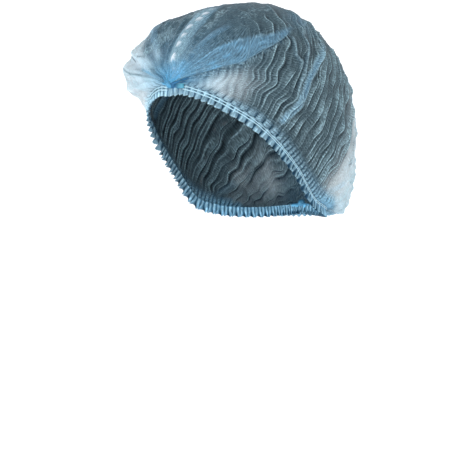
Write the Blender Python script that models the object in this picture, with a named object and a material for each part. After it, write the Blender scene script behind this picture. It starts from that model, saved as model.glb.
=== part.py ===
"""Bouffant cap: one pleated sheet of nonwoven, gathered at the forehead and the nape, with elastic along its rim.

Metres, +Z up. The cap's front faces -Y and the wearer's left is +X. The origin is the middle of the head opening.
A place on the cloth is a pair of shares: along, from the front gather (0) to the back gather (1), and across,
from the right rim (-1) over the crown to the left rim (1).
"""
import math

import bmesh
import bpy
from mathutils import Vector

# Head opening and crown
OPENING_WIDTH = 0.160
OPENING_LENGTH = 0.174
RIM_DROP = 0.107  # how much lower the nape gather sits than the forehead gather
CROWN_RISE = 0.132  # greatest rise of the crown above the rim
CROWN_LEAN = 0.078  # greatest lean of the crown behind the rim below it
SIDE_OVERHANG = 0.012  # how far the crown bulges past the rim at each side
PUFF_REACH = 0.016  # how far a puff stands out of the plain crown
BAG_SAG = 0.013  # how far the nape bag hangs below the plain crown

# Cloth
CLOTH_WALL = 0.0012
RIB_COUNT = 26
RIB_RELIEF = 0.0011  # half the height of a crinkle rib at the rim
RIB_TOP = 0.45  # share of that relief left at the top of the crown
RIB_ZIGZAG = 0.45  # how far a rib's turns swing, as a share of its half width
RIB_FADE = 4  # half ribs over which the relief grows from the crown's ends
RIB_STRAIGHT = 0.1  # share of the way from the rim over which the zigzag starts
PLEATS = 15  # pleats that fan out of a gather, from rim to rim
PLEAT_RELIEF = 0.0008  # half their height at the crown's edge
PLEAT_FADE = 0.022  # length over which they die away
FOLD_HEIGHT = 0.003
FOLD_WIDTH = 0.005
FOLD_START = 0.2  # share of a fold's length over which it rises, and sinks at its end
FOLD_END = 0.3
EDGE_FADE = 0.16  # share of the way from the rim over which puffs grow
END_FADE = 0.10  # share of the rim's length from a gather over which they grow
CROWN_STRIPS = 30  # strips of faces across the crown, from rim to rim
SLOPE_STEP = 0.002  # share of the rim's length over which slopes are read

# Rim
FRILL_DEPTH = 0.0095
FRILL_WAVE = 0.0020  # half the height of a ruffle at the frill's free edge
BAND_WAVE = 0.0005  # the same under the elastic
BAND_DEPTH = 0.0052  # depth of the flatter band that carries the elastic
FRILL_PLEATS = 36  # ruffles on each side
ELASTIC_DIAMETER = 0.0012
ELASTIC_SPACING = 0.0034

# Gathers
GATHER_REACH = 0.014  # along the rim, from a gather's middle to the crown's edge
GATHER_CORE = 0.0035  # half thickness of the crimped cloth at a gather's middle
GATHER_NECK = 0.003  # along the rim, from a gather's middle to where its flutes start
GATHER_FLUTES = 12
FLUTE_DEPTH = 0.0022  # depth of the grooves between its flutes
FLUTE_START = 0.3  # share of that depth at the gather's middle
GATHER_STRIPS = 5  # strips of faces from the gather's middle outwards
GATHER_TUCK = 0.6  # how far the inner side follows the outer side's turn towards the rim
GATHER_SPREAD = 0.86  # share of the way from the middle to the rim that a gather covers
TAB_WIDTH = 0.0052
TAB_WALL = 0.0016
TAB_CROWN = 0.0009  # how far the tab's middle stands out of its edges
TAB_PLEAT = 0.25  # height of its pleats as a share of that
TAB_STRIPS = 4
TAB_PLEATS = 3

# Clearances
GAP = 0.0006
SEAM = 0.0012  # along the rim, between a gather and the crown's edge

# The hoops that carry the crown, from the front gather to the back gather.
# angle is round the opening in degrees, rim_height is a share of half RIM_DROP, lean of CROWN_LEAN,
# rise of CROWN_RISE and overhang of SIDE_OVERHANG.
HOOP_COLUMNS = ("angle", "rim_height", "lean", "rise", "overhang")
HOOPS = (
    (0, 1.00, 0.00, 0.00, 0.00),
    (12, 1.01, 0.07, 0.15, 0.60),
    (30, 0.86, 0.23, 0.44, 1.10),
    (45, 0.65, 0.56, 0.73, 1.15),
    (60, 0.39, 0.90, 0.87, 1.25),
    (75, 0.03, 1.01, 0.95, 1.15),
    (90, -0.40, 1.02, 1.00, 1.00),
    (105, -0.88, 1.01, 1.01, 0.95),
    (120, -1.02, 0.92, 0.81, 0.65),
    (135, -1.06, 0.73, 0.48, 0.55),
    (150, -1.06, 0.48, 0.15, 0.85),
    (165, -1.03, 0.24, -0.06, 1.00),
    (180, -1.00, 0.00, 0.00, 0.00),
)

# Puffs and dents: where, how wide in the same shares, and the push as a share of PUFF_REACH.
PUFF_COLUMNS = ("along", "across", "wide_along", "wide_across", "push_x", "push_y", "push_z")
PUFFS = (
    (0.20, -0.70, 0.09, 0.25, -0.80, -0.75, -0.20),
    (0.17, -0.42, 0.08, 0.18, -0.50, -0.40, 0.35),
)

# The bag at the nape hangs by shares of BAG_SAG.
SAG_COLUMNS = ("along", "across", "wide_along", "wide_across", "sag")
SAGS = (
    (0.78, 0.62, 0.14, 0.30, 1.00),
    (0.78, -0.62, 0.14, 0.30, 1.00),
)

# Folds: raised creases between two places, with shares of FOLD_HEIGHT and FOLD_WIDTH.
FOLD_COLUMNS = ("along", "across", "to_along", "to_across", "height", "width")
FOLDS = (
    (0.05, 0.00, 0.20, 0.00, 1.0, 1.0),
    (0.05, 0.20, 0.17, 0.20, 0.7, 1.0),
    (0.06, 0.40, 0.28, 0.47, 0.8, 1.0),
    (0.06, 0.73, 0.27, 0.53, 1.0, 1.0),
    (0.04, -0.33, 0.16, -0.33, 0.9, 1.0),
    (0.04, -0.73, 0.15, -0.60, 0.8, 1.0),
    (0.37, 0.95, 0.39, 0.62, 0.7, 1.2),
    (0.38, 0.66, 0.49, 0.27, 0.9, 1.2),
    (0.70, 0.96, 0.73, 0.70, 0.8, 1.0),
    (0.76, 0.94, 0.85, 0.60, 0.9, 1.0),
    (0.83, 0.90, 0.92, 0.27, 0.8, 1.0),
    (0.70, -0.96, 0.74, -0.70, 0.8, 1.0),
    (0.79, -0.94, 0.87, -0.53, 0.9, 1.0),
    (0.34, -0.92, 0.44, -0.47, 0.8, 1.2),
    (0.82, 0.00, 0.94, 0.00, 0.9, 1.0),
)

MATERIALS = {
    "nonwoven": ((0.40, 0.66, 0.84), 0.62),
    "nonwoven_dense": ((0.18, 0.50, 0.78), 0.55),
    "elastic": ((0.78, 0.91, 0.95), 0.45),
}

RIM_STEPS = 360


def rows(columns, table):
    return [dict(zip(columns, row)) for row in table]


HOOP_ROWS = rows(HOOP_COLUMNS, HOOPS)
PUFF_ROWS = rows(PUFF_COLUMNS, PUFFS)
SAG_ROWS = rows(SAG_COLUMNS, SAGS)
FOLD_ROWS = rows(FOLD_COLUMNS, FOLDS)


def smooth_step(value):
    value = min(1.0, max(0.0, value))
    return value * value * (3 - 2 * value)


def hoop_value(column, angle):
    """A column of the hoop table at any angle, on a smooth curve through its rows."""
    last = len(HOOP_ROWS) - 1
    row = 0
    while row < last - 1 and HOOP_ROWS[row + 1]["angle"] <= angle:
        row += 1
    near = [HOOP_ROWS[min(max(row + step, 0), last)] for step in (-1, 0, 1, 2)]
    values = [hoop[column] for hoop in near]
    angles = [hoop["angle"] for hoop in near]
    span = angles[2] - angles[1]
    slope_in = (values[2] - values[0]) / (angles[2] - angles[0])
    slope_out = (values[3] - values[1]) / (angles[3] - angles[1])
    t = (angle - angles[1]) / span
    return (
        values[1] * (2 * t**3 - 3 * t**2 + 1)
        + slope_in * span * (t**3 - 2 * t**2 + t)
        + values[2] * (3 * t**2 - 2 * t**3)
        + slope_out * span * (t**3 - t**2)
    )


def rim_point(angle):
    """The left rim at an angle round the opening, 0 at the front gather."""
    turn = math.radians(angle)
    return Vector((
        OPENING_WIDTH / 2 * math.sin(turn),
        -OPENING_LENGTH / 2 * math.cos(turn),
        RIM_DROP / 2 * hoop_value("rim_height", angle),
    ))


def rim_lengths():
    """Length of the left rim from the front gather to each of RIM_STEPS equal angles."""
    points = [rim_point(180 * step / RIM_STEPS) for step in range(RIM_STEPS + 1)]
    lengths = [0.0]
    for start, end in zip(points, points[1:]):
        lengths.append(lengths[-1] + (end - start).length)
    return lengths


LENGTHS = rim_lengths()
RIM_LENGTH = LENGTHS[-1]


def rim_angle(along):
    """The angle at a share of the rim's length."""
    length = min(max(along, 0.0), 1.0) * RIM_LENGTH
    low, high = 0, RIM_STEPS
    while high - low > 1:
        middle = (low + high) // 2
        if LENGTHS[middle] <= length:
            low = middle
        else:
            high = middle
    part = (length - LENGTHS[low]) / (LENGTHS[high] - LENGTHS[low])
    return 180 * (low + part) / RIM_STEPS


def rim_frame(along, side):
    """A point of the rim with its outward and downward directions. side is 1 at the left and -1 at the right."""
    point = rim_point(rim_angle(along))
    ahead, behind = min(along + SLOPE_STEP, 1.0), max(along - SLOPE_STEP, 0.0)
    tangent = (rim_point(rim_angle(ahead)) - rim_point(rim_angle(behind))).normalized()
    outward = Vector((point.x / OPENING_WIDTH**2, point.y / OPENING_LENGTH**2, 0)).normalized()
    downward = tangent.cross(outward)
    if downward.z > 0:
        downward.negate()
    mirror = Vector((side, 1, 1))
    return point * mirror, outward * mirror, downward * mirror


def plain_crown(along, across):
    """The crown without puffs, folds or ribs: an arc that springs from the rim inside its widest place."""
    angle = rim_angle(along)
    rim = rim_point(angle)
    rise = Vector((0, CROWN_LEAN * hoop_value("lean", angle), CROWN_RISE * hoop_value("rise", angle)))
    half_width = rim.x + SIDE_OVERHANG * max(hoop_value("overhang", angle), 0.0)
    end = math.pi - math.asin(min(1.0, rim.x / max(half_width, 1e-9)))
    turn = abs(across) * end
    climb = (math.cos(turn) - math.cos(end)) / (1 - math.cos(end))
    point = Vector((0, rim.y, rim.z)) + rise * climb
    point.x = math.copysign(half_width * math.sin(turn), across)
    return point


def hump(along, across, row):
    return math.exp(
        -(((along - row["along"]) / row["wide_along"]) ** 2)
        - (((across - row["across"]) / row["wide_across"]) ** 2)
    )


def soft_crown(along, across):
    """The crown with its puffs and the bag at the nape."""
    point = plain_crown(along, across)
    free = smooth_step((1 - abs(across)) / EDGE_FADE) * smooth_step(min(along, 1 - along) / END_FADE)
    for row in PUFF_ROWS:
        push = Vector((row["push_x"], row["push_y"], row["push_z"])) * PUFF_REACH
        point += push * hump(along, across, row) * free
    for row in SAG_ROWS:
        point.z -= BAG_SAG * row["sag"] * hump(along, across, row) * free
    return point


def outward_at(along, across):
    """The crown's outward direction, from its slopes."""
    step = 2 * SLOPE_STEP
    along_step = soft_crown(min(along + step, 1), across) - soft_crown(max(along - step, 0), across)
    across_step = soft_crown(along, min(across + step, 1)) - soft_crown(along, max(across - step, -1))
    return across_step.cross(along_step).normalized()


def fold_relief(along, across):
    """Height of the folds over the soft crown, from the distance to each fold's line."""
    relief = 0.0
    here = soft_crown(along, across)
    for row in FOLD_ROWS:
        start = Vector((row["along"], row["across"]))
        run = Vector((row["to_along"], row["to_across"])) - start
        share = min(1.0, max(0.0, (Vector((along, across)) - start).dot(run) / run.length_squared))
        nearest = start + run * share
        distance = (soft_crown(nearest.x, nearest.y) - here).length
        fade = smooth_step(share / FOLD_START) * smooth_step((1 - share) / FOLD_END)
        section = math.exp(-((distance / (FOLD_WIDTH * row["width"])) ** 2))
        relief += FOLD_HEIGHT * row["height"] * fade * section
    return relief


def pleat_relief(along, across):
    """The pleats that fan out of both gathers and die away over the crown."""
    from_gather = min(along, 1 - along) * RIM_LENGTH - GATHER_REACH
    strength = math.exp(-max(from_gather, 0) / PLEAT_FADE)
    return PLEAT_RELIEF * strength * math.cos(math.pi * PLEATS / 2 * across)


def principled(name):
    colour, roughness = MATERIALS[name]
    material = bpy.data.materials.new(name)
    material.use_nodes = True
    shader = material.node_tree.nodes["Principled BSDF"]
    shader.inputs["Base Color"].default_value = (*colour, 1)
    shader.inputs["Roughness"].default_value = roughness
    shader.inputs["Metallic"].default_value = 0
    material.diffuse_color = (*colour, 1)
    return material


def add_object(name, data, material):
    data.materials.append(material)
    piece = bpy.data.objects.new(name, data)
    bpy.context.scene.collection.objects.link(piece)
    return piece


def grid(across_strips, along_strips, place):
    """A grid of faces whose corners place(across_step, along_step) puts where they belong."""
    sheet = bmesh.new()
    bmesh.ops.create_grid(sheet, x_segments=across_strips, y_segments=along_strips, size=0.5)
    for corner in sheet.verts:
        across_step = round((corner.co.x + 0.5) * across_strips)
        along_step = round((corner.co.y + 0.5) * along_strips)
        corner.co = place(across_step, along_step)
    return sheet


def finish(sheet, name, material):
    mesh = bpy.data.meshes.new(name)
    sheet.to_mesh(mesh)
    sheet.free()
    return add_object(name, mesh, material)


def solidify(piece, wall):
    """Gives a sheet its wall, inwards from the modelled side."""
    modifier = piece.modifiers.new("wall", "SOLIDIFY")
    modifier.thickness = wall
    modifier.offset = -1
    modifier.use_even_offset = False
    modifier.use_rim = True


def build_crown(material):
    """The ballooned sheet. Its ribs run from rim to rim in zigzags, one corner of the grid to each turn."""
    first = GATHER_REACH / RIM_LENGTH
    rib_steps = 2 * RIB_COUNT
    zigzag = (0.0, RIB_ZIGZAG, 0.0, -RIB_ZIGZAG)

    def place(across_step, along_step):
        across = 2 * across_step / CROWN_STRIPS - 1
        inside = smooth_step(min(along_step, rib_steps - along_step) / RIB_FADE)
        shift = zigzag[across_step % 4] * inside * smooth_step((1 - abs(across)) / RIB_STRAIGHT)
        along = first + (1 - 2 * first) * (along_step + shift) / rib_steps
        strength = (RIB_TOP + (1 - RIB_TOP) * across**2) * inside
        rib = RIB_RELIEF * strength * (1 if along_step % 2 else -1)
        if across_step in (0, CROWN_STRIPS):
            point, outward, downward = rim_frame(along, math.copysign(1, across))
            return point + outward * rib - downward * (GAP / 2)
        relief = rib + fold_relief(along, across) + pleat_relief(along, across)
        return soft_crown(along, across) + outward_at(along, across) * relief

    solidify(finish(grid(CROWN_STRIPS, rib_steps, place), "crown", material), CLOTH_WALL)


def build_frill(side, name, material):
    """The ruffled edge below the elastic on one side."""
    first = GATHER_NECK / RIM_LENGTH
    steps = 2 * FRILL_PLEATS
    depths = (GAP / 2, BAND_DEPTH, FRILL_DEPTH)
    waves = (BAND_WAVE, BAND_WAVE, FRILL_WAVE)

    def place(across_step, along_step):
        along = first + (1 - 2 * first) * along_step / steps
        row = across_step if side > 0 else len(depths) - 1 - across_step
        point, outward, downward = rim_frame(along, side)
        wave = waves[row] * (1 if along_step % 2 else -1)
        return point + downward * depths[row] + outward * wave

    solidify(finish(grid(len(depths) - 1, steps, place), name, material), CLOTH_WALL)


def build_elastic(side, depth, start, name, material):
    """One strand, along the outside of the frill's band from the front gather to the back gather."""
    curve = bpy.data.curves.new(name, "CURVE")
    curve.dimensions = "3D"
    curve.bevel_depth = ELASTIC_DIAMETER / 2
    curve.bevel_resolution = 1
    curve.use_fill_caps = True
    strand = curve.splines.new("POLY")
    strand.points.add(FRILL_PLEATS)
    first, last = start / RIM_LENGTH, 1 - GATHER_NECK / RIM_LENGTH
    off_the_band = BAND_WAVE + GAP + ELASTIC_DIAMETER / 2
    for step, corner in enumerate(strand.points):
        point, outward, downward = rim_frame(first + (last - first) * step / FRILL_PLEATS, side)
        corner.co = (*(point + downward * depth + outward * off_the_band), 1)
    add_object(name, curve, material)


def above_rim(point, along, across):
    """The point, lifted where needed to stay a gap clear of the rim below it."""
    rim, outward, downward = rim_frame(along, math.copysign(1, across))
    return point - downward * max((point - rim).dot(downward) + GAP, 0)


def build_gather(at_front, name, material):
    """A crimped fan between the two ends of the rim: thick in the middle, one wall thick at the crown's edge."""
    reach = (GATHER_REACH - SEAM) / RIM_LENGTH
    core = GATHER_NECK / RIM_LENGTH
    across_strips, along_strips = 2 * GATHER_FLUTES, GATHER_STRIPS

    def spot(across_step, along_step):
        across = GATHER_SPREAD * (2 * across_step / across_strips - 1)
        share = along_step / along_strips
        out = share if at_front else 1 - share
        from_middle = core + (reach - core) * out
        return (from_middle if at_front else 1 - from_middle), across, out

    def outer(across_step, along_step):
        along, across, out = spot(across_step, along_step)
        flute = FLUTE_DEPTH * (FLUTE_START + (1 - FLUTE_START) * out) * (across_step % 2)
        return above_rim(soft_crown(along, across) - outward_at(along, across) * flute, along, across)

    def inner(across_step, along_step):
        along, across, out = spot(across_step, along_step)
        wall = CLOTH_WALL + (GATHER_CORE - CLOTH_WALL) * (1 - out)
        point = outer(across_step, along_step) - outward_at(along, GATHER_TUCK * across) * wall
        return above_rim(point, along, across)

    sheet = grid(across_strips, along_strips, outer)
    inner_place = {}
    for across_step in range(across_strips + 1):
        for along_step in range(along_strips + 1):
            inner_place[tuple(outer(across_step, along_step))] = inner(across_step, along_step)
    front = set(sheet.verts)
    bmesh.ops.extrude_face_region(sheet, geom=list(sheet.faces), use_keep_orig=True)
    for corner in sheet.verts:
        if corner not in front:
            corner.co = inner_place[tuple(corner.co)]
    bmesh.ops.recalc_face_normals(sheet, faces=sheet.faces)
    finish(sheet, name, material)


def build_tab(name, material):
    """The welded end of the pleated strip, folded to the left over the frill's band up to where the elastic starts."""
    first, last = GATHER_NECK / RIM_LENGTH, (GATHER_REACH - GAP) / RIM_LENGTH
    along_strips = 2 * TAB_PLEATS
    stand_off = BAND_WAVE + GAP + TAB_WALL

    def place(across_step, along_step):
        share = across_step / TAB_STRIPS
        point, outward, downward = rim_frame(first + (last - first) * along_step / along_strips, 1)
        pleat = TAB_PLEAT * (along_step % 2)
        swell = TAB_CROWN * (math.sin(math.pi * share) + pleat)
        return point + downward * (GAP + TAB_WIDTH * share) + outward * (stand_off + swell)

    solidify(finish(grid(TAB_STRIPS, along_strips, place), name, material), TAB_WALL)


def clear_scene():
    for piece in list(bpy.data.objects):
        bpy.data.objects.remove(piece, do_unlink=True)


def main():
    clear_scene()
    nonwoven = principled("nonwoven")
    dense = principled("nonwoven_dense")
    elastic = principled("elastic")
    build_crown(nonwoven)
    for side, word in ((1, "left"), (-1, "right")):
        build_frill(side, f"frill_{word}", nonwoven)
        start = GATHER_REACH if side > 0 else GATHER_NECK
        upper = ELASTIC_DIAMETER / 2 + GAP
        build_elastic(side, upper, start, f"elastic_{word}_upper", elastic)
        build_elastic(side, upper + ELASTIC_SPACING, start, f"elastic_{word}_lower", elastic)
    build_gather(True, "gather_front", dense)
    build_gather(False, "gather_back", dense)
    build_tab("end_tab", dense)


main()
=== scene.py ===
import math
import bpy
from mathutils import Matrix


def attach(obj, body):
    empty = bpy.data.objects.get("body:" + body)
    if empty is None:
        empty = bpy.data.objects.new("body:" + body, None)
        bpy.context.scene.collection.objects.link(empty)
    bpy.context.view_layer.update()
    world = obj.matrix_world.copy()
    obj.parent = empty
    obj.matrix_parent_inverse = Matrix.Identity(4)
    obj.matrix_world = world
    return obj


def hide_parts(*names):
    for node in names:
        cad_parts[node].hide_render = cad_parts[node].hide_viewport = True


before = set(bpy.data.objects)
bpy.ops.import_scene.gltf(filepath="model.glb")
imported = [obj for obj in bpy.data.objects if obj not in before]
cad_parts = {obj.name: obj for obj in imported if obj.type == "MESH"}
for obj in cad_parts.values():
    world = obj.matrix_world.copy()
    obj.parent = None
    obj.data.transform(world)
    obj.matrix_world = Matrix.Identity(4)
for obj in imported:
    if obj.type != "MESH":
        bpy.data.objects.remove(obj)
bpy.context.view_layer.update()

from types import SimpleNamespace

import bmesh
import bpy
import numpy as np
from mathutils import Vector

# Bouffant cap, worn size. Metres, the cap's front at -Y and its left at +X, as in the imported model.
# A place on the cloth is along, 0 at the front gather and 1 at the back gather,
# and across, -1 at the right rim, 0 over the top and 1 at the left rim.

capForm = {
    "openingWidth": 0.160,
    "openingLength": 0.174,
    "rimDrop": 0.107,
    "crownRise": 0.132,
    "crownLean": 0.078,
    "sideOverhang": 0.012,
    "puffReach": 0.016,
    "bagSag": 0.013,
    "edgeFade": 0.16,
    "endFade": 0.10,
}

# Hoops that carry the crown: angle round the opening, then shares of half rimDrop, crownLean, crownRise and
# sideOverhang.
hoopColumns = ("angle", "rimHeight", "lean", "rise", "overhang")
hoops = np.array((
    (0, 1.00, 0.00, 0.00, 0.00),
    (12, 1.01, 0.07, 0.15, 0.60),
    (30, 0.86, 0.23, 0.44, 1.10),
    (45, 0.65, 0.56, 0.73, 1.15),
    (60, 0.39, 0.90, 0.87, 1.25),
    (75, 0.03, 1.01, 0.95, 1.15),
    (90, -0.40, 1.02, 1.00, 1.00),
    (105, -0.88, 1.01, 1.01, 0.95),
    (120, -1.02, 0.92, 0.81, 0.65),
    (135, -1.06, 0.73, 0.48, 0.55),
    (150, -1.06, 0.48, 0.15, 0.85),
    (165, -1.03, 0.24, -0.06, 1.00),
    (180, -1.00, 0.00, 0.00, 0.00),
))

# Puffs: along, across, wide along, wide across, push in x, y and z as shares of puffReach.
puffs = (
    (0.20, -0.70, 0.09, 0.25, -0.80, -0.76, -0.18),
    (0.17, -0.42, 0.08, 0.18, -0.42, -0.36, 0.30),
    (0.215, -0.34, 0.055, 0.11, -0.26, -0.12, 0.22),
)

# The bag at the nape: along, across, wide along, wide across, share of bagSag.
sags = (
    (0.78, 0.62, 0.14, 0.30, 1.00),
    (0.78, -0.62, 0.14, 0.30, 1.00),
)


def smoothStep(value, start=0.0, width=1.0):
    # rises smoothly from 0 at start to 1 a width further on
    share = np.clip((value - start) / width, 0.0, 1.0)
    return share * share * (3 - 2 * share)


def bell(value, power=2):
    # 1 at a value of 0, and falls off to both sides
    return np.exp(-value**power)


def mix(low, high, share):
    return low + (high - low) * share


def cloudNoise(x, y, seed):
    # a smooth random field from about -1 to 1, one lump to each unit of x and y
    lattice = np.random.default_rng(seed).uniform(-1, 1, (64, 64))
    column, row = np.floor(x).astype(int), np.floor(y).astype(int)
    shareX, shareY = smoothStep(x - column), smoothStep(y - row)
    near = mix(lattice[column % 64, row % 64], lattice[(column + 1) % 64, row % 64], shareX)
    far = mix(lattice[column % 64, (row + 1) % 64], lattice[(column + 1) % 64, (row + 1) % 64], shareX)
    return mix(near, far, shareY)


def hoopValue(column, angle):
    angles, values = hoops[:, 0], hoops[:, hoopColumns.index(column)]
    last = len(angles) - 1
    row = np.clip(np.searchsorted(angles, angle, side="right") - 1, 0, last - 1)
    before, after, beyond = np.maximum(row - 1, 0), row + 1, np.minimum(row + 2, last)
    span = angles[after] - angles[row]
    slopeIn = (values[after] - values[before]) / (angles[after] - angles[before])
    slopeOut = (values[beyond] - values[row]) / (angles[beyond] - angles[row])
    t = (angle - angles[row]) / span
    return (
        values[row] * (2 * t**3 - 3 * t**2 + 1)
        + slopeIn * span * (t**3 - 2 * t**2 + t)
        + values[after] * (3 * t**2 - 2 * t**3)
        + slopeOut * span * (t**3 - t**2)
    )


def rimPoint(angle):
    turn = np.radians(angle)
    return np.stack((
        capForm["openingWidth"] / 2 * np.sin(turn),
        -capForm["openingLength"] / 2 * np.cos(turn),
        capForm["rimDrop"] / 2 * hoopValue("rimHeight", angle),
    ), -1)


rimAngles = np.linspace(0, 180, 361)
rimSteps = np.linalg.norm(np.diff(rimPoint(rimAngles), axis=0), axis=1)
rimLengths = np.concatenate(([0.0], np.cumsum(rimSteps)))
rimLength = rimLengths[-1]


def rimAngle(along):
    return np.interp(np.clip(along, 0, 1) * rimLength, rimLengths, rimAngles)


def unit(vectors):
    return vectors / np.maximum(np.linalg.norm(vectors, axis=-1, keepdims=True), 1e-12)


def rimFrame(along, side):
    # points of one side's rim with their outward and downward directions, side 1 left and -1 right
    along = np.asarray(along, float)
    point = rimPoint(rimAngle(along))
    tangent = unit(rimPoint(rimAngle(along + 0.002)) - rimPoint(rimAngle(along - 0.002)))
    flat = (capForm["openingWidth"], capForm["openingLength"])
    outward = unit(np.stack((point[..., 0] / flat[0]**2, point[..., 1] / flat[1]**2, 0 * along), -1))
    downward = np.cross(tangent, outward)
    downward = np.where(downward[..., 2:] > 0, -downward, downward)
    mirror = np.array((side, 1, 1))
    return point * mirror, outward * mirror, downward * mirror


def plainCrown(along, across):
    angle = rimAngle(along)
    rim = rimPoint(angle)
    halfWidth = rim[..., 0] + capForm["sideOverhang"] * np.maximum(hoopValue("overhang", angle), 0)
    end = math.pi - np.arcsin(np.minimum(1, rim[..., 0] / np.maximum(halfWidth, 1e-9)))
    turn = np.abs(across) * end
    climb = (np.cos(turn) - np.cos(end)) / (1 - np.cos(end))
    return np.stack((
        np.copysign(halfWidth * np.sin(turn), across),
        rim[..., 1] + capForm["crownLean"] * hoopValue("lean", angle) * climb,
        rim[..., 2] + capForm["crownRise"] * hoopValue("rise", angle) * climb,
    ), -1)


def hump(along, across, row):
    return np.exp(-((along - row[0]) / row[2])**2 - ((across - row[1]) / row[3])**2)


def softCrown(along, across):
    along, across = np.clip(along, 0, 1), np.clip(across, -1, 1)
    point = plainCrown(along, across)
    fromEnd = np.minimum(along, 1 - along)
    free = smoothStep((1 - np.abs(across)) / capForm["edgeFade"]) * smoothStep(fromEnd / capForm["endFade"])
    for row in puffs:
        push = np.array(row[4:]) * capForm["puffReach"]
        point = point + push * (hump(along, across, row) * free)[..., None]
    for row in sags:
        point[..., 2] -= capForm["bagSag"] * row[4] * hump(along, across, row) * free
    return point


def crownFrame(along, across):
    # a place on the soft crown with its outward direction and its direction along
    step = 0.004
    alongStep = softCrown(along + step, across) - softCrown(along - step, across)
    acrossStep = softCrown(along, across + step) - softCrown(along, across - step)
    return softCrown(along, across), unit(np.cross(acrossStep, alongStep)), unit(alongStep)


# Crinkles: the gathered cloth stands in crests that run from rim to rim and turn at every pleat crease.
crinkles = {
    "pitchAlong": (0.00, 0.10, 0.25, 0.45, 0.60, 0.75, 0.90, 1.00),
    "pitch": (0.0062, 0.0070, 0.0088, 0.0096, 0.0090, 0.0078, 0.0062, 0.0050),
    "seed": 11,
    "panels": 30,
    "zigzag": 0.0014,
    "jitter": 0.0017,
    "soften": 0.9,
    "wander": 0.0030,
    "merged": 0.50,
    "height": 0.0021,
    "topShare": 0.50,
    "lean": 0.30,
    "pucker": 0.0023,
    "closerFrom": 0.40,
}


def crestStarts(first, last):
    # where each crest leaves the rim, closer together towards the nape
    along = np.linspace(first, last, 800)
    pitch = np.interp(along, crinkles["pitchAlong"], crinkles["pitch"])
    counted = np.concatenate(([0.0], np.cumsum(np.diff(along) * rimLength / pitch[1:])))
    crests = round(counted[-1])
    return np.interp(np.linspace(0, counted[-1], crests + 1), counted, along)


def toothPlace(share, starts, crest):
    # place within a tooth of the rim, its tuck at 0.5; towards the nape the teeth come twice as close
    return np.where(starts[crest][:, None] > crinkles["closerFrom"], (2 * share + 0.5) % 1.0, share)


def soften(values):
    # rounds the corners of a crest line a little
    around = np.arange(-4, 5)
    weight = bell(around / (2 * crinkles["soften"]))
    padded = np.concatenate((np.full(4, values[0]), values, np.full(4, values[-1])))
    return np.convolve(padded, weight / weight.sum(), mode="valid")


def crestLines(starts, rowAcross):
    # along and height of every crest at every row
    rng = np.random.default_rng(crinkles["seed"])
    crests, panels = len(starts), crinkles["panels"]
    shape = (crests, panels + 1)
    fromGather = np.minimum(starts, 1 - starts) * rimLength
    pitch = np.gradient(starts) * rimLength
    loose = smoothStep(fromGather / 0.045)[:, None]
    swing = np.where(np.arange(panels + 1) % 2, 1.0, -1.0) * rng.uniform(0.6, 1.3, panels + 1)
    crestNumber, panelNumber = np.meshgrid(np.arange(crests), np.arange(panels + 1), indexing="ij")
    offset = crinkles["zigzag"] * swing * rng.uniform(0.7, 1.3, shape)
    offset += crinkles["jitter"] * rng.uniform(-1, 1, shape)
    offset += crinkles["wander"] * cloudNoise(crestNumber / 4.0, panelNumber / 2.6, 5)
    offset *= loose * np.minimum(1, pitch / 0.0068)[:, None]
    height = np.clip(rng.normal(0.82, 0.38, shape), 0.12, 1.5)
    for crest in range(2, crests - 3, 2):
        if rng.uniform() < crinkles["merged"]:
            low, high = rng.integers(2, 8), panels - rng.integers(2, 8)
            pull = 0.36 * pitch[crest] * smoothStep((np.arange(panels + 1) - low) / 2.0)
            pull *= smoothStep((high - np.arange(panels + 1)) / 2.0)
            offset[crest] += pull
            offset[crest + 1] -= pull
    offset[:, (0, -1)] = 0
    offset[:, (1, -2)] *= 0.5
    nodeAcross = np.linspace(-1, 1, panels + 1) + rng.uniform(-0.25, 0.25, shape) * 2 / panels
    nodeAcross[:, 0], nodeAcross[:, -1] = -1, 1
    lines = np.empty((crests, len(rowAcross)))
    heights = np.empty_like(lines)
    for crest in range(crests):
        bent = soften(np.interp(rowAcross, nodeAcross[crest], offset[crest]))
        lines[crest] = starts[crest] + bent / rimLength
        heights[crest] = np.interp(rowAcross, nodeAcross[crest], height[crest])
    return lines, heights


# Flaps: pleats of the folded strip that stay shut, so the cloth lies three deep. Each has places along, and
# the middle and half the width across at each of them; side is 1 at the left.
flaps = (
    {"side": 1, "along": (0.03, 0.06, 0.14, 0.19, 0.22, 0.26, 0.28, 0.32),
     "middle": (0.60, 0.57, 0.54, 0.565, 0.56, 0.52, 0.475, 0.37),
     "half": (0.06, 0.155, 0.135, 0.11, 0.07, 0.040, 0.034, 0.0), "lift": 0.0013},
    {"side": -1, "along": (0.02, 0.05, 0.09, 0.13), "middle": (-0.58, -0.60, -0.60, -0.58),
     "half": (0.02, 0.045, 0.025, 0.0), "lift": 0.0016},
)


def flapFold(rowAcross, along):
    # the place across that each row lands on, how high it lies, how shut the flap is, and its folded edges
    across, lift, shut, hem = rowAcross.copy(), 0 * rowAcross, 0 * rowAcross, 0 * rowAcross
    for flap in flaps:
        half = np.interp(along, flap["along"], flap["half"])
        middle = np.interp(along, flap["along"], flap["middle"])
        folded = smoothStep(half / 0.03)
        width = np.maximum(half, 1e-3) / 0.77
        x = rowAcross - middle
        across = across - 2.6 * folded * x * bell(x / width, 4)
        outer = x * flap["side"]
        rise = smoothStep((outer + 3.2 * width) / (1.6 * width))
        lift = lift + flap["lift"] * folded * (1 - smoothStep((outer + 0.9 * width) / (1.8 * width))) * rise
        edge = half - np.abs(across - middle)
        shut = np.maximum(shut, folded * smoothStep(edge / 0.012 + 0.5))
        hem = np.maximum(hem, folded * bell((edge - 0.002) / 0.007) * np.where(outer > 0, 1.0, 0.4))
    return across, lift, shut, hem


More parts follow.
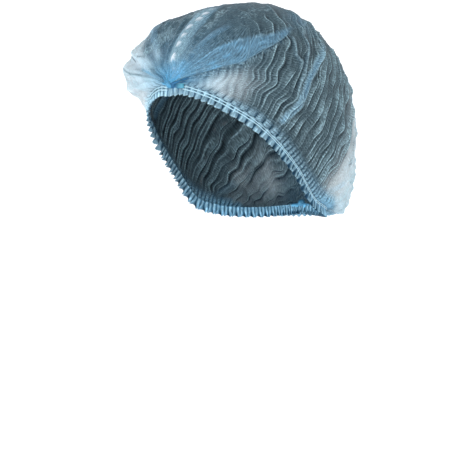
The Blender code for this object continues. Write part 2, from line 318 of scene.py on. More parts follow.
# Long folds. path gives places as along and across, height the relief and width half of the crest. dense is
# for layers, line for the pale edge, partly painted highlight, and lee for painted shade on the back. Some
# have glossy beads with painted glints, a squarer shape, a slot of painted shade along the middle, or pale
# hems at that share of their width.
foldDefaults = {"height": 0.0018, "width": 0.0025, "dense": 0.2, "line": 0.3, "lee": 0.35, "slot": 0.0}
longFolds = (
    {"path": ((0.045, 0.00), (0.10, -0.02), (0.132, -0.03), (0.164, -0.04), (0.21, -0.07), (0.25, -0.09)),
     "height": 0.0036, "width": 0.0115, "dense": 0.52, "line": 0.5, "shape": 3.0},
    {"path": ((0.04, -0.02), (0.092, -0.03), (0.116, -0.01), (0.148, -0.04), (0.18, -0.01), (0.215, -0.03)),
     "width": 0.0029, "dense": 0.15, "line": 0.42, "beads": 7.3},
    {"path": ((0.04, 0.20), (0.068, 0.23), (0.084, 0.18), (0.116, 0.11), (0.164, 0.08), (0.20, 0.08)),
     "width": 0.0026, "dense": 0.22},
    {"path": ((0.04, -0.24), (0.10, -0.19), (0.132, -0.16), (0.164, -0.18), (0.22, -0.22)),
     "height": 0.0020, "width": 0.0022},
    {"path": ((0.03, 0.22), (0.076, 0.21), (0.108, 0.22), (0.148, 0.24), (0.175, 0.27), (0.20, 0.28)),
     "height": 0.0024, "width": 0.0042, "dense": 0.46, "line": 0.22},
    {"path": ((0.000, 0.90), (0.012, 0.84), (0.026, 0.77), (0.045, 0.74), (0.060, 0.745)),
     "height": -0.0006, "width": 0.0030, "dense": 0.9, "line": 0.0, "lee": 0.0, "slot": 0.9},
    {"path": ((0.03, -0.36), (0.052, -0.35), (0.084, -0.32), (0.124, -0.31), (0.196, -0.38), (0.24, -0.42)),
     "height": 0.0030, "width": 0.0040, "dense": 0.45, "line": 0.25},
    {"path": ((0.03, -0.50), (0.09, -0.50), (0.172, -0.53), (0.24, -0.50)),
     "height": 0.0034, "width": 0.0060, "dense": 0.1},
    {"path": ((0.03, -0.80), (0.09, -0.72), (0.172, -0.67), (0.25, -0.64)),
     "height": 0.0040, "width": 0.0052, "dense": 0.15, "line": 0.4},
    {"path": ((0.06, -0.90), (0.132, -0.84), (0.188, -0.82), (0.26, -0.84)),
     "height": 0.0036, "width": 0.0046, "dense": 0.05, "line": 0.4},
    {"path": ((0.372, 0.95), (0.374, 0.90), (0.388, 0.82), (0.386, 0.75), (0.380, 0.68), (0.396, 0.57),
              (0.43, 0.45), (0.47, 0.33)),
     "height": 0.0030, "width": 0.0034, "dense": 0.48, "line": 0.44, "lee": 0.9, "hems": 0.80},
    {"path": ((0.300, 0.46), (0.308, 0.52), (0.316, 0.60), (0.340, 0.62), (0.336, 0.70)),
     "dense": 0.1, "line": 0.55, "lee": 0.8},
    {"path": ((0.372, 0.27), (0.350, 0.38), (0.340, 0.45), (0.356, 0.50), (0.356, 0.60), (0.356, 0.73),
              (0.372, 0.77), (0.380, 0.85), (0.378, 0.92)),
     "dense": 0.1, "line": 0.6, "lee": 0.9},
    {"path": ((0.42, 0.22), (0.404, 0.38), (0.428, 0.42), (0.410, 0.50), (0.396, 0.57), (0.404, 0.66)),
     "dense": 0.1, "line": 0.55, "lee": 0.8},
    {"path": ((0.200, -0.38), (0.178, -0.47), (0.160, -0.53), (0.135, -0.54), (0.108, -0.48), (0.090, -0.42)),
     "width": 0.0018, "dense": 0.1, "line": 0.35, "lee": 0.9},
    {"path": ((0.215, -0.30), (0.185, -0.40), (0.150, -0.40), (0.110, -0.43), (0.085, -0.50)),
     "width": 0.0018, "dense": 0.1, "lee": 0.8},
    {"path": ((0.19, -0.60), (0.165, -0.64), (0.13, -0.66), (0.09, -0.64), (0.06, -0.66)),
     "width": 0.0020, "dense": 0.1, "line": 0.35, "lee": 0.8},
    {"path": ((0.66, 0.99), (0.69, 0.90), (0.73, 0.74)), "height": 0.0030, "width": 0.0032},
    {"path": ((0.70, 0.99), (0.77, 0.90), (0.82, 0.80), (0.85, 0.58)),
     "height": 0.0032, "width": 0.0034, "line": 0.4},
    {"path": ((0.80, 0.95), (0.87, 0.70), (0.93, 0.30)), "height": 0.0028, "width": 0.0030, "line": 0.4},
    {"path": ((0.84, 0.13), (0.88, 0.04), (0.92, 0.08), (0.965, 0.03)),
     "height": 0.0026, "width": 0.0034, "line": 0.12},
    {"path": ((0.70, -0.96), (0.74, -0.70)), "height": 0.0030, "width": 0.0034},
    {"path": ((0.79, -0.95), (0.83, -0.75), (0.87, -0.53)), "height": 0.0032, "width": 0.0034},
    {"path": ((0.34, -0.93), (0.37, -0.75), (0.44, -0.45)), "height": 0.0028, "width": 0.0032, "dense": 0.4},
)


def foldMarks(along, across, here):
    # relief, layers, pale lines (partly painted highlight), painted shade on backs and slots,
    # and painted glints on the glossy beads of the long folds
    made = {name: 0 * along for name in ("relief", "dense", "line", "lee", "glossAndGlint")}
    for row in longFolds:
        fold = {**foldDefaults, **row}
        path = np.array(fold["path"])
        knots = np.arange(len(path))
        fine = np.linspace(0, len(path) - 1, 90)
        pathAlong, pathAcross = np.interp(fine, knots, path[:, 0]), np.interp(fine, knots, path[:, 1])
        spots = softCrown(pathAlong, pathAcross)
        run = np.concatenate(([0.0], np.cumsum(np.linalg.norm(np.diff(spots, axis=0), axis=1))))
        reach = 3.2 * fold["width"] + 0.004
        near = (here > spots.min(0) - reach).all(-1) & (here < spots.max(0) + reach).all(-1)
        gaps = np.linalg.norm(here[near][:, None] - spots[None], axis=-1)
        nearest = gaps.argmin(1)
        distance, length = gaps.min(1), run[nearest]
        fade = smoothStep(length / 0.008) * smoothStep((run[-1] - length) / (0.35 * run[-1]))
        x = distance / fold["width"]
        top = bell(x, fold.get("shape", 1.5))
        if "beads" in fold:
            beads = fold["beads"] * length / run[-1]
            beat = 0.5 + 0.5 * np.cos(2 * math.pi * (beads + 0.12 * np.sin(beads * 2.3)))
            top = top * (1 - 0.22 * (1 - beat))
            # shine: painted glints on the beads, stronger or fainter bead by bead
            shine = smoothStep(beat * 2.6 - 1.0) * bell(x, 4) * smoothStep(length / 0.004)
            speck = 0.80 + 0.45 * cloudNoise(length / 0.0013 + 7, along[near] * 900 + across[near] * 260, 51)
            speck = speck * (0.95 + 0.25 * np.sin(2.7 * np.rint(beads)))
            shine = shine * speck * smoothStep((run[-1] - length) / 0.012)
            made["glossAndGlint"][near] = np.maximum(made["glossAndGlint"][near], shine)
        side = np.sign(along[near] - pathAlong[nearest])
        made["relief"][near] += fold["height"] * fade * top
        dense = fold["dense"] * smoothStep((1.25 - x) / 0.4)
        edge = bell(x, 4) if "shape" in fold else bell((x - fold.get("hems", 0.0)) / 0.45)
        back = fold["lee"] * bell((x - 1.35) / 0.6) * (side > 0) + fold["slot"] * bell(x)
        for name, value in (("dense", dense), ("line", fold["line"] * edge), ("lee", back)):
            made[name][near] = np.maximum(made[name][near], fade * value)
    return made


gatherFan = {"pleats": 19, "height": 0.0026, "starts": 0.006, "frontReach": 0.022, "backReach": 0.050}


def fanRelief(along, across):
    # pleats that fan out of both gathers
    fromGather = np.minimum(along, 1 - along) * rimLength
    strength = smoothStep(fromGather / gatherFan["starts"])
    reach = np.where(along < 0.5, gatherFan["frontReach"], gatherFan["backReach"])
    strength = strength * np.exp(-np.maximum(fromGather - 0.014, 0) / reach)
    phase = across * gatherFan["pleats"] / 2 + 0.3 * cloudNoise(across * 5 + 9, along * 3, 21)
    size = 0.75 + 0.45 * cloudNoise(across * 8 + 3, along * 2, 22)
    edge = smoothStep((1 - np.abs(across)) / 0.08)
    return gatherFan["height"] * strength * size * edge * (1 - np.abs(np.sin(math.pi * phase)))


def addObject(name, data):
    made = bpy.data.objects.new(name, data)
    bpy.context.scene.collection.objects.link(made)
    return made


def takeMesh(name, sheet, material):
    # turns a bmesh into a smooth mesh of one material
    mesh = bpy.data.meshes.new(name)
    sheet.to_mesh(mesh)
    sheet.free()
    mesh.materials.append(material)
    mesh.shade_smooth()
    return mesh


def gridMesh(columns, rows):
    # a flat grid of columns by rows corners, with its UVs, as a bmesh
    sheet = bmesh.new()
    sheet.loops.layers.uv.new("UVMap")
    bmesh.ops.create_grid(sheet, x_segments=columns - 1, y_segments=rows - 1, size=0.5, calc_uvs=True)
    return sheet


def gridNumbers(sheet, columns, rows):
    places = np.array([corner.co[:2] for corner in sheet.verts])
    column = np.rint((places[:, 0] + 0.5) * (columns - 1)).astype(int)
    row = np.rint((places[:, 1] + 0.5) * (rows - 1)).astype(int)
    return column, row


def sheetPiece(name, columns, rows, place, marks, material, uvShare=1.0):
    # moves the corners of a grid to place[column, row] and stores the marks that the material reads;
    # uvShare is how much of the UV map's height the rows take
    sheet = gridMesh(columns, rows)
    column, row = gridNumbers(sheet, columns, rows)
    mesh = takeMesh(name, sheet, material)
    mesh.vertices.foreach_set("co", place[column, row].astype(np.float32).ravel())
    corners = np.empty(2 * len(mesh.loops), np.float32)
    mesh.uv_layers["UVMap"].data.foreach_get("uv", corners)
    corners[1::2] *= uvShare
    mesh.uv_layers["UVMap"].data.foreach_set("uv", corners)
    for mark, values in marks.items():
        attribute = mesh.attributes.new(mark, "FLOAT", "POINT")
        attribute.data.foreach_set("value", values[column, row].astype(np.float32))
    mesh.update()
    return addObject(name, mesh)


def feed(tree, node, inputs):
    # links a node's inputs to sockets, or sets them to plain values
    for name, value in inputs.items():
        if isinstance(value, bpy.types.NodeSocket):
            tree.links.new(value, node.inputs[name])
        else:
            node.inputs[name].default_value = value


def addNode(tree, kind, inputs=None, **settings):
    made = tree.nodes.new(kind)
    for name, value in settings.items():
        setattr(made, name, value)
    feed(tree, made, inputs or {})
    return made


def calculate(tree, operation, first, second=0.0, clamp=False):
    values = {0: first, 1: second}
    return addNode(tree, "ShaderNodeMath", values, operation=operation, use_clamp=clamp).outputs[0]


def mapRange(tree, value, fromLow, fromHigh, toLow=0.0, toHigh=1.0):
    values = {"Value": value, "From Min": fromLow, "From Max": fromHigh, "To Min": toLow, "To Max": toHigh}
    return addNode(tree, "ShaderNodeMapRange", values).outputs["Result"]


def spread(tree, value, low, high):
    # a value of 0 to 1 laid out from low to high
    return mapRange(tree, value, 0.0, 1.0, low, high)


def combine(tree, operation, values):
    # one sum, product or maximum of several values
    made = values[0]
    for value in values[1:]:
        made = calculate(tree, operation, made, value)
    return made


def weighted(tree, node, operation, shares):
    # combines the named outputs of a node, each times its share
    return combine(tree, operation, [
        calculate(tree, "MULTIPLY", node.outputs[name], share) for name, share in shares.items()
    ])


def readMark(tree, name):
    return addNode(tree, "ShaderNodeAttribute", attribute_name=name).outputs["Fac"]


def noise(tree, vector, scale, detail, roughness=0.5):
    values = {"Vector": vector, "Scale": scale, "Detail": detail, "Roughness": roughness}
    return addNode(tree, "ShaderNodeTexNoise", values).outputs[0]


def turnedNoise(tree, vector, turn, stretch, scale, detail):
    values = {"Vector": vector, "Rotation": (0, 0, turn), "Scale": (1, stretch, 1)}
    return noise(tree, addNode(tree, "ShaderNodeMapping", values).outputs[0], scale, detail)


def bumpy(tree, height, strength, distance):
    values = {"Height": height, "Strength": strength, "Distance": distance}
    return addNode(tree, "ShaderNodeBump", values).outputs[0]


def grey(tree, value):
    return addNode(tree, "ShaderNodeCombineColor", {0: value, 1: value, 2: value}).outputs[0]


def mixColour(tree, share, first, second, blend="MIX"):
    # inputs 0, 6 and 7 and output 2 are the ones that a mix of colours uses
    values = {0: share, 6: first, 7: second}
    return addNode(tree, "ShaderNodeMix", values, data_type="RGBA", blend_type=blend).outputs[2]


def ridgeLines(tree, vector, scale, turn, stretch, width):
    # thin lines where a stretched noise crosses its middle value
    crossing = calculate(tree, "SUBTRACT", turnedNoise(tree, vector, turn, stretch, scale, 1.5), 0.5)
    return mapRange(tree, calculate(tree, "ABSOLUTE", crossing), 0.0, width, 1.0, 0.0)


webScales = {"Fibre": 230.0, "Cloud": 130.0, "Dot": 560.0, "Crease": 85.0, "Grain": 560.0, "Pleat": 118.0}


def spunWebGroup():
    # the web of the nonwoven: stray fibres, thick and thin places, pressed bonding dots and fine creases
    group = bpy.data.node_groups.new("spunWeb", "ShaderNodeTree")
    group.interface.new_socket("Vector", in_out="INPUT", socket_type="NodeSocketVector")
    for name, scale in webScales.items():
        socket = group.interface.new_socket(name + " Scale", in_out="INPUT", socket_type="NodeSocketFloat")
        socket.default_value = scale
    for name in ("Fibres", "Clouds", "Dots", "Creases", "Grain", "Pleats"):
        group.interface.new_socket(name, in_out="OUTPUT", socket_type="NodeSocketFloat")
    entry, leave = group.nodes.new("NodeGroupInput"), group.nodes.new("NodeGroupOutput")
    vector = entry.outputs["Vector"]
    strands = [
        turnedNoise(group, vector, turn, stretch, entry.outputs["Fibre Scale"], 3.0)
        for turn, stretch in ((0.35, 9.0), (-0.5, 11.0), (1.35, 8.0))
    ]
    cloud = noise(group, vector, entry.outputs["Cloud Scale"], 5.0, 0.6)
    values = {"Vector": vector, "Scale": entry.outputs["Dot Scale"], "Randomness": 0.18}
    dots = addNode(group, "ShaderNodeTexVoronoi", values).outputs["Distance"]
    creases = [
        ridgeLines(group, vector, entry.outputs["Crease Scale"], turn, stretch, 0.022)
        for turn, stretch in ((0.62, 2.6), (-0.58, 2.4))
    ]
    grain = noise(group, vector, entry.outputs["Grain Scale"], 2.0, 0.6)
    values = {
        "Vector": vector,
        "Scale": entry.outputs["Pleat Scale"],
        "Distortion": 3.0,
        "Detail": 1.5,
        "Detail Scale": 0.5,
    }
    pleats = addNode(group, "ShaderNodeTexWave", values, bands_direction="Y").outputs["Fac"]
    patches = mapRange(group, cloud, 0.40, 0.60)
    for name, value in (
        ("Fibres", mapRange(group, combine(group, "MAXIMUM", strands), 0.52, 0.66)),
        ("Clouds", mapRange(group, cloud, 0.32, 0.68)),
        ("Dots", mapRange(group, dots, 0.16, 0.30, 1.0, 0.0)),
        ("Creases", combine(group, "MAXIMUM", creases)),
        ("Grain", mapRange(group, grain, 0.36, 0.64)),
        ("Pleats", calculate(group, "MULTIPLY", mapRange(group, pleats, 0.55, 0.95), patches)),
    ):
        group.links.new(value, leave.inputs[name])
    return group


spunWeb = spunWebGroup()


def startMaterial(name):
    material = bpy.data.materials.new(name)
    material.use_nodes = True
    return material, material.node_tree, material.node_tree.nodes["Principled BSDF"]


# Nonwoven: pale and see-through where one layer is stretched and deeper where it lies in layers. Darkening in
# creases, tucks and behind crests is painted shade, pale crest lines are partly painted highlight, and the
# glints on beads are painted.
nonwovenLook = {
    "thin": (0.94, 0.985, 1.0, 1),
    "body": (0.030, 0.052, 0.067, 1),
    # painted shade colour behind crests where the cloth lies single
    "hollowShade": (0.004, 0.009, 0.014, 1),
    "layered": (0.115, 0.260, 0.395, 1),
    "sheerLayered": (0.36, 0.68, 0.90, 1),
    "welded": (0.15, 0.45, 0.72, 1),
    # painted shade colour in tucks, creases and grooves
    "foldShade": (0.003, 0.034, 0.074, 1),
    # pale crest colour: partly cloth seen edge-on in layers, partly painted highlight on crests and lit
    # slopes
    "crest": (0.44, 0.66, 0.75, 1),
    "glint": (0.86, 0.93, 1.0, 1),
    "bag": (0.84, 0.94, 0.98, 1),
    "thinAlpha": 0.52,
    "bodyAlpha": 0.93,
    "roughness": 0.50,
    "specular": 0.10,
    "flat": (0.44, 0.42, 1.0),
    # Clouds, Grain and Dots vary the tone at random; Pleats lays painted shade along the fine pleats
    "shades": {"Clouds": (0.78, 1.12), "Grain": (0.70, 1.26), "Dots": (1.04, 0.84), "Pleats": (1.10, 0.62)},
    "relief": {"Fibres": 1.0, "Dots": -0.7, "Creases": 1.6, "Pleats": -1.6},
    "bump": (0.5, 0.00018),
}


def nonwovenMaterial():
    look = nonwovenLook
    material, tree, shader = startMaterial("nonwoven")
    uv = addNode(tree, "ShaderNodeUVMap", uv_map="UVMap")
    flat = addNode(tree, "ShaderNodeMapping", {"Vector": uv.outputs[0], "Scale": look["flat"]})
    web = addNode(tree, "ShaderNodeGroup", {"Vector": flat.outputs[0]}, node_tree=spunWeb)
    crest, dense, body, bag, foldShade, glossAndGlint = (
        readMark(tree, mark) for mark in ("crest", "dense", "body", "bag", "foldShade", "glossAndGlint")
    )
    sheer = calculate(tree, "SUBTRACT", 1.0, body)
    colour = mixColour(tree, bag, look["thin"], look["bag"])
    colour = mixColour(tree, body, colour, look["body"])
    layered = mixColour(tree, sheer, look["layered"], look["sheerLayered"])
    colour = mixColour(tree, mapRange(tree, dense, 0.0, 0.7), colour, layered)
    colour = mixColour(tree, mapRange(tree, dense, 0.65, 1.0), colour, look["welded"])

    # painted shade in creases and tucks, then pale crests, partly painted highlight, and threads on them
    creased = weighted(tree, web, "MAXIMUM", {"Creases": 0.45, "Fibres": 0.08})
    # painted shade from the mark of tucks and crease backs, and from the web's creases where the cloth is
    # thin
    shaded = calculate(tree, "MAXIMUM", foldShade, calculate(tree, "MULTIPLY", creased, sheer))
    # the painted shade colour, darker still where the cloth lies single
    deep = mixColour(tree, mapRange(tree, dense, 0.0, 0.4), look["hollowShade"], look["foldShade"])
    colour = mixColour(tree, shaded, colour, mixColour(tree, sheer, deep, look["foldShade"]))
    threads = weighted(tree, web, "MAXIMUM", {"Creases": 0.14, "Fibres": 0.18})
    threads = calculate(tree, "MULTIPLY", threads, mapRange(tree, foldShade, 0.0, 0.8, 1.0, 0.1))
    crests = calculate(tree, "MULTIPLY", crest, spread(tree, web.outputs["Grain"], 0.62, 1.12))
    pale = calculate(tree, "MAXIMUM", crests, threads)
    colour = mixColour(tree, pale, colour, look["crest"])

    # tone that varies at random, and painted shade along the fine pleats
    shade = combine(tree, "MULTIPLY", [
        spread(tree, web.outputs[name], low, high) for name, (low, high) in look["shades"].items()
    ])
    colour = mixColour(tree, spread(tree, body, 0.25, 1.0), colour, grey(tree, shade), "MULTIPLY")

    cloudy = calculate(tree, "SUBTRACT", web.outputs["Clouds"], 0.5)
    covered = [mapRange(tree, body, 0.0, 0.70, look["thinAlpha"], look["bodyAlpha"])]
    for value, weight in ((pale, 0.35), (dense, 0.55), (shaded, 0.5), (cloudy, 0.14)):
        covered.append(calculate(tree, "MULTIPLY", value, weight))
    covered.append(weighted(tree, web, "ADD", {"Fibres": 0.16, "Dots": 0.05, "Pleats": 0.14}))
    rough = spread(tree, web.outputs["Fibres"], look["roughness"], look["roughness"] + 0.16)
    feed(tree, shader, {
        # painted glints over the glossy beads
        "Base Color": mixColour(tree, glossAndGlint, colour, look["glint"]),
        "Alpha": calculate(tree, "MINIMUM", combine(tree, "ADD", covered), 1.0, True),
        "Roughness": calculate(tree, "SUBTRACT", rough, calculate(tree, "MULTIPLY", glossAndGlint, 0.28)),
        "Normal": bumpy(tree, weighted(tree, web, "ADD", look["relief"]), *look["bump"]),
        "Specular IOR Level": look["specular"],
    })
    material.surface_render_method = "DITHERED"
    return material


# Welded nonwoven: many layers pressed and crimped together.
weldedLook = {
    "light": (0.14, 0.50, 0.80, 1),
    # painted shade colour for tucks, crimps and the flanks of rolls
    "deep": (0.001, 0.108, 0.250, 1),
    "sheer": (0.10, 0.38, 0.48, 1),
    "roughness": 0.38,
    "alpha": 0.95,
    "bump": (0.5, 0.0002),
    "fibreScale": 420.0,
    "cloudScale": 300.0,
}


def weldedMaterial():
    look = weldedLook
    material, tree, shader = startMaterial("welded nonwoven")
    place = addNode(tree, "ShaderNodeTexCoord")
    values = {"Fibre Scale": look["fibreScale"], "Cloud Scale": look["cloudScale"]}
    web = addNode(tree, "ShaderNodeGroup", {"Vector": place.outputs["Object"], **values}, node_tree=spunWeb)
    colour = mixColour(tree, readMark(tree, "sheer"), look["light"], look["sheer"])
    # painted shade in tucks, crimps and on the flanks of rolls
    colour = mixColour(tree, readMark(tree, "foldShade"), colour, look["deep"])
    shade = spread(tree, web.outputs["Clouds"], 0.82, 1.12)
    feed(tree, shader, {
        "Base Color": mixColour(tree, 1.0, colour, grey(tree, shade), "MULTIPLY"),
        "Alpha": spread(tree, web.outputs["Clouds"], look["alpha"] - 0.1, 1.0),
        "Roughness": spread(tree, web.outputs["Fibres"], look["roughness"], look["roughness"] + 0.2),
        "Normal": bumpy(tree, web.outputs["Fibres"], *look["bump"]),
    })
    return material


# Elastic: a pale covered thread with a slanting twist and painted shade in its grooves.
elasticLook = {
    "thread": (0.66, 0.90, 0.98, 1),
    # the groove colour is painted shade in the twist
    "groove": (0.36, 0.67, 0.84, 1),
    "twists": 190.0,
    "roughness": 0.5,
    "sheen": 0.3,
    "bump": (0.6, 0.0002),
}


def elasticMaterial():
    look = elasticLook
    material, tree, shader = startMaterial("elastic strand")
    uv = addNode(tree, "ShaderNodeUVMap", uv_map="UVMap")
    values = {"Vector": uv.outputs[0], "Scale": (1.0, look["twists"], 1.0)}
    turned = addNode(tree, "ShaderNodeMapping", values)
    values = {"Vector": turned.outputs[0], "Scale": 1.0, "Distortion": 1.5}
    twist = addNode(tree, "ShaderNodeTexWave", values, bands_direction="DIAGONAL").outputs["Fac"]
    feed(tree, shader, {
        "Base Color": mixColour(tree, twist, look["groove"], look["thread"]),
        "Normal": bumpy(tree, twist, *look["bump"]),
        "Roughness": look["roughness"],
        "Sheen Weight": look["sheen"],
    })
    return material


nonwoven, welded, elastic = nonwovenMaterial(), weldedMaterial(), elasticMaterial()
print("materials made")

crown = {
    "first": 0.012,
    "last": 0.988,
    "segments": 10,
    "rows": 250,
    "lipWidth": 0.095,
    "lineWidth": 0.045,
    "toothDepth": 0.0078,
    "puckerRise": 0.0026,
    "puckerFade": 0.0075,
    "weave": 0.00030,
    "lumps": 0.0014,
    "buckle": 0.0030,
    "wrinkle": 0.0007,
    "rimWave": 0.0005,
}

# How strong the crown's pale marks, partly painted highlight, and its painted shade marks are, a pair for the
# front and the back.
paleTones = {
    "line": (0.85, 1.15),
    "litSlope": (0.16, 0.30),
    "wrinkle": 0.50,
    "window": 0.35,
    "fine": 0.42,
    "netting": 0.46,
    "hem": 0.75,
    "fan": 0.55,
}
shadedTones = {"lee": (0.75, 1.15), "groove": (0.38, 0.62), "fan": 0.38, "window": 0.36}

# Where wrinkles are most, and the stretched window at the left front: along, across, wide along, wide across.
wrinkledPlace = (0.15, -0.55, 0.12, 0.55)
windowPlace = (0.15, 0.80, 0.11, 0.26)

# Where the single layer is stretched thin and pale: along, across, wide along, wide across, share.
thinPlaces = (
    (0.150, -0.84, 0.14, 0.36, 1.45),
    (0.205, -0.42, 0.05, 0.09, 0.50),
    (0.085, -0.46, 0.055, 0.24, 0.62),
    (0.15, 0.90, 0.14, 0.20, 0.47),
    (0.80, 0.67, 0.15, 0.44, 1.05),
    (0.82, -0.70, 0.12, 0.40, 0.50),
)

# Where layers lie loosely on each other and look bluer: along, across, wide along, wide across, share.
layeredPlaces = (
    (0.35, 0.31, 0.045, 0.09, 0.30),
    (0.26, 0.08, 0.14, 0.20, 0.11),
)


def strongest(values, most=1.0):
    # the largest of several marks at each corner
    return np.clip(np.maximum.reduce(values), 0, most)


def layOutCrown():
    # the crown's grid: its columns run with the crests, and its rows from the right rim to the left one
    grid = SimpleNamespace()
    starts, segments = crestStarts(crown["first"], crown["last"]), crown["segments"]
    rowAcross = np.linspace(-1, 1, crown["rows"])
    lines, heights = crestLines(starts, rowAcross)
    grid.columns = (len(starts) - 1) * segments + 1
    crest = np.minimum(np.arange(grid.columns) // segments, len(starts) - 2)
    share = (np.arange(grid.columns) / segments - crest)[:, None]
    share = share - 0.05 * np.sin(4 * math.pi * share)  # columns crowd at crests and tucks
    grid.number = np.arange(grid.columns)[:, None] / segments
    grid.row = rowAcross[None, :]
    grid.share, grid.toothShare = share, toothPlace(share, starts, crest)
    grid.along = mix(lines[crest], lines[crest + 1], share)
    across, grid.lift, grid.shut, grid.hem = flapFold(np.repeat(grid.row, grid.columns, 0), grid.along)
    grid.across = np.clip(across, -1, 1)
    grid.point, grid.outward, grid.forward = crownFrame(grid.along, grid.across)

    halfArc = np.linalg.norm(np.diff(grid.point, axis=1), axis=2).sum(1)[:, None] / 2
    grid.fromRim = (1 - np.abs(grid.across)) * halfArc
    grid.fromGather = np.minimum(grid.along, 1 - grid.along) * rimLength
    grid.acrossLength, grid.alongLength = grid.across * halfArc, grid.along * rimLength * 1.25
    grid.breaks = cloudNoise(grid.along * 42 + 5, grid.acrossLength / 0.013 + 30, 46)
    grid.height = mix(heights[crest], heights[crest + 1], share)
    grid.height = grid.height * np.clip(0.85 + 0.75 * grid.breaks, 0.1, 1.4)
    grid.free = smoothStep(grid.fromRim / 0.012) * smoothStep(grid.fromGather / 0.02)
    grid.side = smoothStep(np.abs(grid.across), 0.12, 0.40)
    grid.rearShare = smoothStep(grid.along, 0.34, 0.10)
    grid.backShare = smoothStep(grid.along, 0.50, 0.25)
    grid.nearRim = bell(grid.fromRim / (crown["toothDepth"] * (1 + 0.7 * grid.backShare)), 3)
    return grid


def crinkleForm(grid):
    # crinkle crests: a thin lip on a broad swell, and a smaller lip in some valleys
    share, height, number = grid.share, grid.height, grid.number
    gap = np.minimum(share, 1 - share)
    smallPlace = 0.5 + 0.05 * cloudNoise(number * 0.7 + 8, grid.row * 10 + 5, 32)
    smallGap = np.abs(share - smallPlace)
    smallSize = np.clip(0.45 + 0.8 * cloudNoise(number * 0.9, grid.row * 8 + 20, 31), 0, 0.95)
    strength = mix(crinkles["topShare"], 1.0, grid.side) * smoothStep(grid.fromGather / 0.03)
    strength = strength * mix(0.25, 1.0, smoothStep(grid.along, 0.15, 0.15))
    strength = strength * mix(0.35, 1.0, smoothStep((1 - grid.along) * rimLength, 0.012, 0.06))
    strength = strength * mix(0.45, 1.0, smoothStep(grid.fromRim, 0.006, 0.014)) * (1 - 0.8 * grid.shut)
    lip = 0.62 * height * bell(gap / crown["lipWidth"])
    lip = lip + 0.55 * smallSize * bell(smallGap / 0.09)
    swell = 0.40 * height * (1 - np.sin(math.pi * share))

    # pale crest lines are partly painted highlight, the rising slope is painted light and the lee painted
    # shade
    clear = np.clip(height * 1.2, 0, 1.2)
    line = bell(gap / crown["lineWidth"]) * clear * (1 - grid.nearRim * grid.rearShare)
    line = line + 0.85 * smallSize * bell(smallGap / 0.05) * (1 - grid.nearRim)
    litSlope = smoothStep(share, 0.46, 0.40) * np.clip(0.55 + 0.5 * height + 0.6 * grid.breaks, 0, 1.6)
    smallLee = 0.8 * smallSize * bell((share - smallPlace - 0.14) / 0.09)
    lee = np.maximum(bell((share - 0.18) / 0.14) * clear, smallLee)
    pale = mix(*paleTones["line"], grid.rearShare) * line
    pale = np.maximum(pale, mix(*paleTones["litSlope"], grid.rearShare) * litSlope)
    shaded = mix(*shadedTones["lee"], grid.rearShare) * lee
    return crinkles["height"] * strength * (lip + swell), strength * pale, strength * shaded


def puckerForm(grid):
    # puckers between the elastic and the crinkles: broad teeth with narrow tucks between them
    shirr = smoothStep(grid.fromRim / crown["puckerRise"]) * smoothStep(grid.fromGather / 0.02)
    shirr = shirr * np.exp(-np.maximum(grid.fromRim - 0.004, 0) / crown["puckerFade"])
    early = mix(0.65, 1.0, smoothStep(grid.along, 0.10, 0.12))
    tuckWidth = mix(0.105, 0.20, smoothStep(grid.along, 0.30, 0.12))
    tuck = bell((grid.toothShare - 0.5) / tuckWidth)
    tooth = 1 - bell((grid.toothShare - 0.5) / 0.20)
    # pale teeth, brightest near one edge where a painted highlight lies, and painted shade in the tucks
    # between them
    pale = grid.nearRim * early * (0.34 * tooth + 0.36 * bell((grid.toothShare - 0.74) / 0.10))
    shaded = grid.nearRim**0.5 * tuck * mix(0.35, 1.0, early)
    return crinkles["pucker"] * shirr * early * tooth, pale, shaded


def weaveForm(grid):
    # lumps, and over the top the netting of fine pleats that cross
    along, across = grid.alongLength, grid.acrossLength
    hatch = np.abs(cloudNoise(along / 0.0042 + across / 0.006, across / 0.0042 + 40, 41))
    counterHatch = np.abs(cloudNoise(along / 0.0036, across / 0.005 + along / 0.006 + 70, 42))
    weave = crown["weave"] * (1 - hatch - counterHatch) * (1 - 0.5 * grid.side)
    lumps = crown["lumps"] * cloudNoise(grid.along * 9 + 30, grid.across * 5 + 30, 43)
    netting = bell(np.minimum(hatch, counterHatch) / 0.16) * (1 - grid.side) * grid.free
    netting = netting * np.clip(0.55 + 0.9 * cloudNoise(along / 0.016 + 5, across / 0.016 + 20, 55), 0, 1.2)
    return (weave + lumps) * grid.free, netting


def wrinkleForm(grid, thin):
    # buckles and wrinkles of the stretched places: pale ridges, partly painted highlight, and painted shade
    # in grooves, where noises cross zero
    along, across = grid.alongLength, grid.acrossLength
    ridges = np.abs(cloudNoise(along / 0.009 + 3, across / 0.020 + 90, 48))
    slanting = np.abs(cloudNoise(along / 0.014 + across / 0.010 + 60, across / 0.013 + 60, 49))
    grooves = np.abs(cloudNoise(along / 0.008 - across / 0.030 + 50, across / 0.011 + 20, 50))
    puffy = hump(grid.along, grid.across, wrinkledPlace) + mix(0.5, 1.3, grid.backShare) * thin
    puffy = grid.free * np.clip(puffy, 0, 1)
    ridge = bell(np.minimum(ridges, slanting) / 0.075) * puffy
    groove = bell(grooves / 0.10) * puffy
    buckled = np.abs(cloudNoise(along / 0.026 + 12, across / 0.034 + 15, 45))
    buckle = crown["buckle"] * thin * (0.5 - 1.4 * buckled) * grid.free
    return buckle + crown["wrinkle"] * (ridge - groove), ridge, groove


